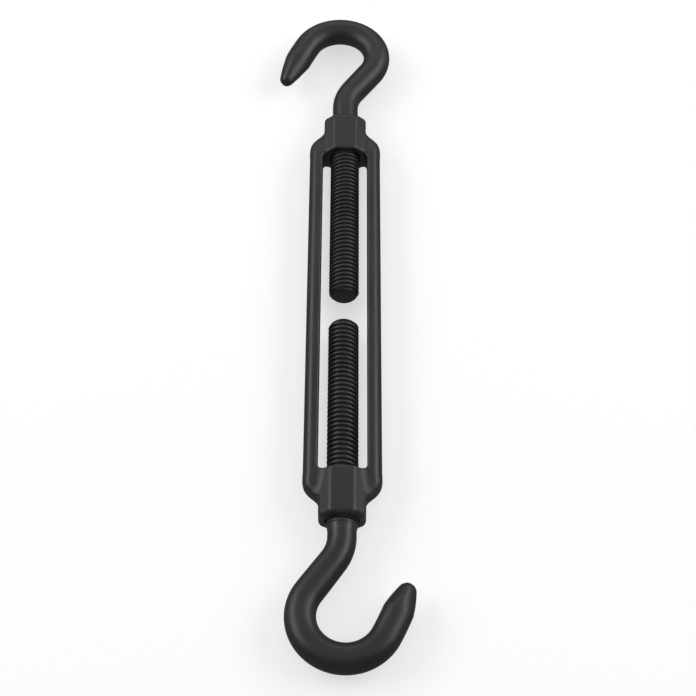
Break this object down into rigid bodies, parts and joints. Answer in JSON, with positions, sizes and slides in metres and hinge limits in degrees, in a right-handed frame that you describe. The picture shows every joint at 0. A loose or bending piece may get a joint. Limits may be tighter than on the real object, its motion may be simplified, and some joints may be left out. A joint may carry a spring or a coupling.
{
  "type": "rigging turnbuckle",
  "caption": "Open-body rigging turnbuckle with a hook bolt in each end, one right-hand and one left-hand thread, in a satin black coating.",
  "frame": {"origin": "middle of the turnbuckle as it lies with both bolts screwed in: on the screw axis, half-way along the body", "axes": "+Y along the screw axis towards the right-hand hook bolt, +Z out of the body's face, +X across its width; the right-hand hook opens towards -X and the left-hand one towards +X"},
  "size_m": [0.0416, 0.2459, 0.012],
  "materials": {
    "body_coating": "satin black powder coat on a smooth casting",
    "hook_coating": "satin black coat on forged and bent steel rod"
  },
  "bodies": {
    "body": {"turnbuckle_body": "body_coating"},
    "right_hook": {"right_hand_hook_bolt": "hook_coating"},
    "left_hook": {"left_hand_hook_bolt": "hook_coating"}
  },
  "joints": [
    {"name": "right_hook_slide", "type": "slide", "parent": "body", "child": "right_hook", "axis": [0, 1, 0], "range_m": [0, 0.053]},
    {"name": "left_hook_slide", "type": "slide", "parent": "body", "child": "left_hook", "axis": [0, -1, 0], "range_m": [0, 0.053]}
  ],
  "couplings": [
    {"joint": "left_hook_slide", "follows": "right_hook_slide", "ratio": 1}
  ]
}
